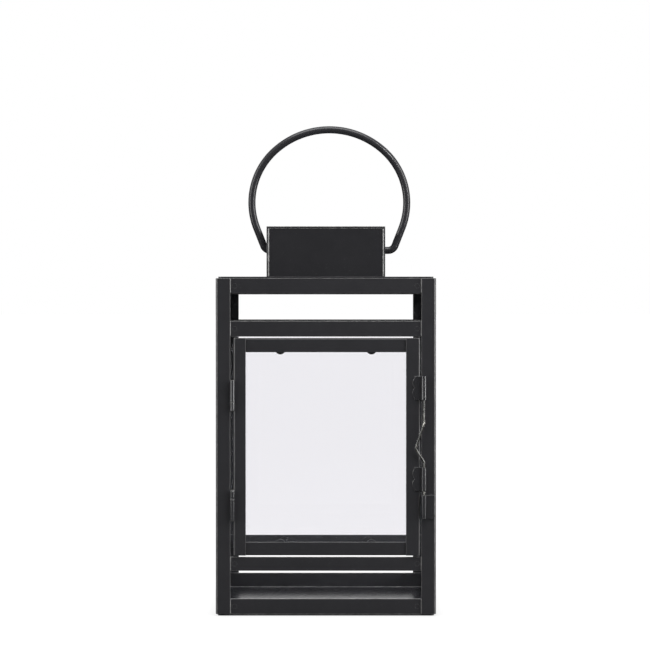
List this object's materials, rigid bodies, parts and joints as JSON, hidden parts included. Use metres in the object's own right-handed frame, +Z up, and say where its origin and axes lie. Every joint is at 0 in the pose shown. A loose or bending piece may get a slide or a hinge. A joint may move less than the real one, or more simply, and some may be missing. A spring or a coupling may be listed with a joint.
{
  "type": "square metal and glass solar lantern",
  "caption": "Square black metal lantern with glass sides, a hinged door on a sliding bolt, a box head that holds a solar light module, and a swinging ring handle.",
  "frame": {"origin": "centre of the base plate's underside, on the surface the lantern stands on", "axes": "+Z up, the door faces -Y, +X to the bolt side of the door"},
  "size_m": [0.14, 0.1437, 0.3164],
  "materials": {
    "black_coat": "satin black powder coat on steel sheet",
    "clear_glass": "clear float glass",
    "bolt_wire": "black coat rubbed thin on steel wire",
    "plain_steel": "zinc plated",
    "solar_cell": "dark cell under clear resin",
    "seal_rubber": "matte",
    "module_plastic": "fine moulded texture",
    "board_green": "solder mask",
    "lamp_resin": "clear yellow resin",
    "lens_plastic": "frosted",
    "cell_sleeve": "plain shrink sleeve",
    "switch_plastic": "moulded"
  },
  "bodies": {
    "frame": {"base_plate": "black_coat", "roof_plate": "black_coat", "post_front_left": "black_coat", "post_front_right": "black_coat", "post_back_left": "black_coat", "post_back_right": "black_coat", "bottom_rail_front": "black_coat", "bottom_rail_right": "black_coat", "bottom_rail_back": "black_coat", "bottom_rail_left": "black_coat", "lower_rail_front": "black_coat", "lower_rail_right": "black_coat", "lower_rail_back": "black_coat", "lower_rail_left": "black_coat", "upper_rail_front": "black_coat", "upper_rail_right": "black_coat", "upper_rail_back": "black_coat", "upper_rail_left": "black_coat", "top_rail_front": "black_coat", "top_rail_right": "black_coat", "top_rail_back": "black_coat", "top_rail_left": "black_coat", "glass_right": "clear_glass", "glass_back": "clear_glass", "glass_left": "clear_glass", "hinge_leaf_post_upper": "black_coat", "hinge_leaf_post_lower": "black_coat", "hinge_pins": "bolt_wire", "bolt_keeper": "black_coat", "head_front": "black_coat", "head_back": "black_coat", "head_left": "black_coat", "head_right": "black_coat", "head_top": "black_coat", "solar_panel": "solar_cell", "panel_seal": "seal_rubber", "module_housing": "module_plastic", "module_cover": "module_plastic", "module_screws": "plain_steel", "circuit_board": "board_green", "led": "lamp_resin", "led_lens": "lens_plastic", "battery_cell": "cell_sleeve", "battery_contacts": "plain_steel", "battery_cover": "module_plastic"},
    "door": {"door_stile_hinge": "black_coat", "door_stile_bolt": "black_coat", "door_rail_top": "black_coat", "door_rail_bottom": "black_coat", "door_glass": "clear_glass", "hinge_leaf_door_upper": "black_coat", "hinge_leaf_door_lower": "black_coat", "bolt_sleeve_upper": "black_coat", "bolt_sleeve_lower": "black_coat"},
    "bolt": {"door_bolt": "bolt_wire"},
    "handle": {"handle_ring": "black_coat", "handle_washers": "plain_steel"},
    "switch": {"switch_slider": "switch_plastic"}
  },
  "joints": [
    {"name": "door_hinge", "type": "hinge", "parent": "frame", "child": "door", "pos_m": [-0.0593, -0.0718, 0.1075], "axis": [0, 0, -1], "range_deg": [0, 170]},
    {"name": "bolt_slide", "type": "slide", "parent": "door", "child": "bolt", "axis": [0, 0, 1], "range_m": [-0.0034, 0.0138]},
    {"name": "handle_pivot", "type": "hinge", "parent": "frame", "child": "handle", "pos_m": [0, 0, 0.2338], "axis": [1, 0, 0], "range_deg": [-100, 100]},
    {"name": "switch_slide", "type": "slide", "parent": "frame", "child": "switch", "axis": [1, 0, 0], "range_m": [0, 0.003]}
  ]
}
